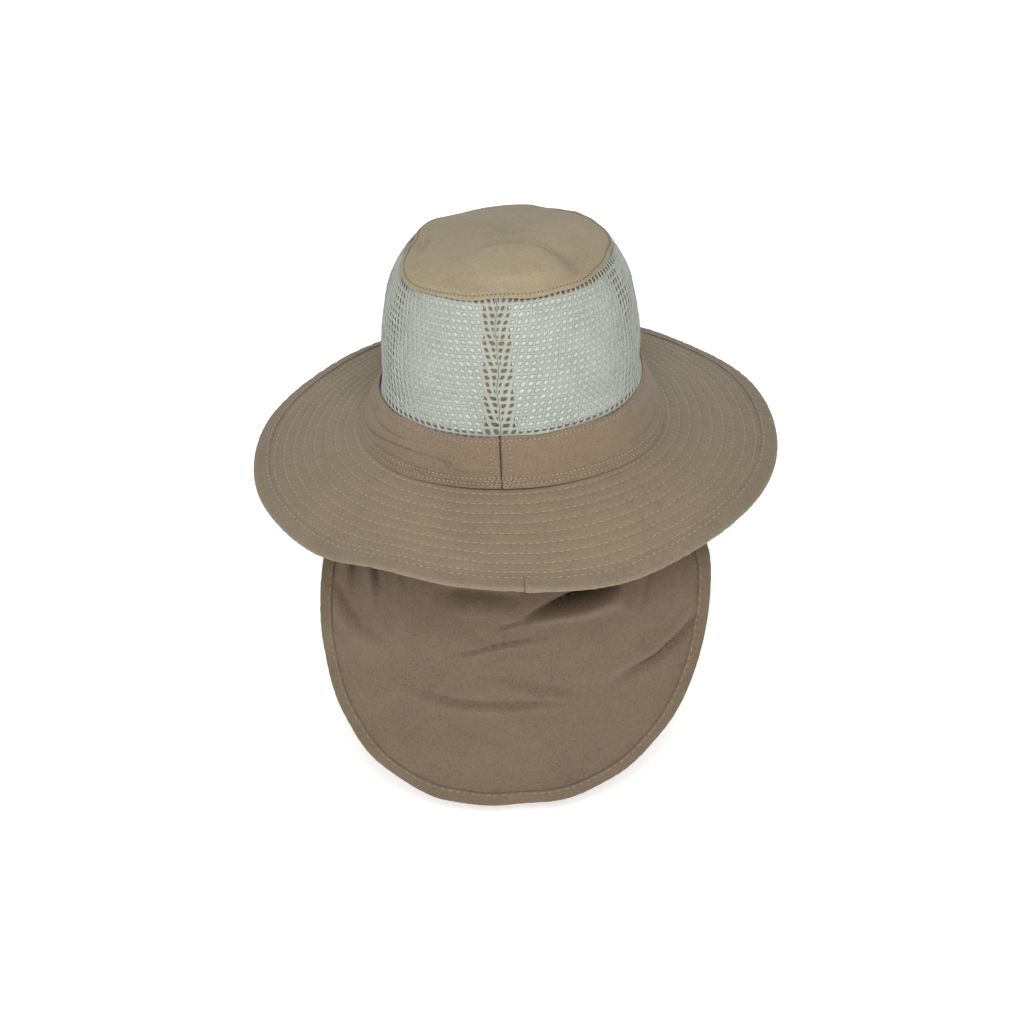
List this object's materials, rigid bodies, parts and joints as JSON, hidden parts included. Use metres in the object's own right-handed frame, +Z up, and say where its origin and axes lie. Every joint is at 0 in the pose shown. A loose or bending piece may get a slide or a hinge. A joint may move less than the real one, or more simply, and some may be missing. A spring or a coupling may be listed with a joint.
{
  "type": "neck flap sun hat",
  "caption": "Wide-brim cloth sun hat with a pale mesh crown, tan tip and band, a stitched brim with a bound edge, and a broad flap that hangs over the neck.",
  "frame": {"origin": "middle of the head opening, level with the seam between crown band and brim", "axes": "+Z up through the crown, +Y the way the wearer faces, so the neck flap hangs on the -Y side"},
  "size_m": [0.31, 0.33, 0.3112],
  "materials": {
    "tip_cloth": "matte woven cotton",
    "mesh": "pale knitted net",
    "lining": "smooth white cloth",
    "tape": "matte woven tape",
    "band_cloth": "matte woven cotton",
    "sweatband_cloth": "matte woven cotton",
    "brim_cloth": "matte stitched cotton",
    "interlining": "stiff non-woven sheet",
    "binding_cloth": "matte folded strip",
    "flap_cloth": "matte soft cotton"
  },
  "bodies": {
    "hat": {"crown_tip": "tip_cloth", "crown_mesh_left": "mesh", "crown_mesh_right": "mesh", "back_seam_tape": "tape", "front_seam_tape": "tape", "side_tape_left": "tape", "side_tape_right": "tape", "tip_seam_tape": "tape", "lining_back_left": "lining", "lining_back_right": "lining", "lining_front_left": "lining", "lining_front_right": "lining", "crown_band": "band_cloth", "sweatband": "sweatband_cloth", "brim_top": "brim_cloth", "brim_interlining": "interlining", "brim_underside": "brim_cloth", "brim_binding": "binding_cloth", "flap_heading": "flap_cloth"},
    "flap": {"neck_flap": "flap_cloth", "flap_binding": "binding_cloth"}
  },
  "joints": [
    {"name": "flap_swing", "type": "hinge", "parent": "hat", "child": "flap", "pos_m": [0, -0.0964, -0.0075], "axis": [-1, 0, 0], "range_deg": [0, 50]}
  ]
}
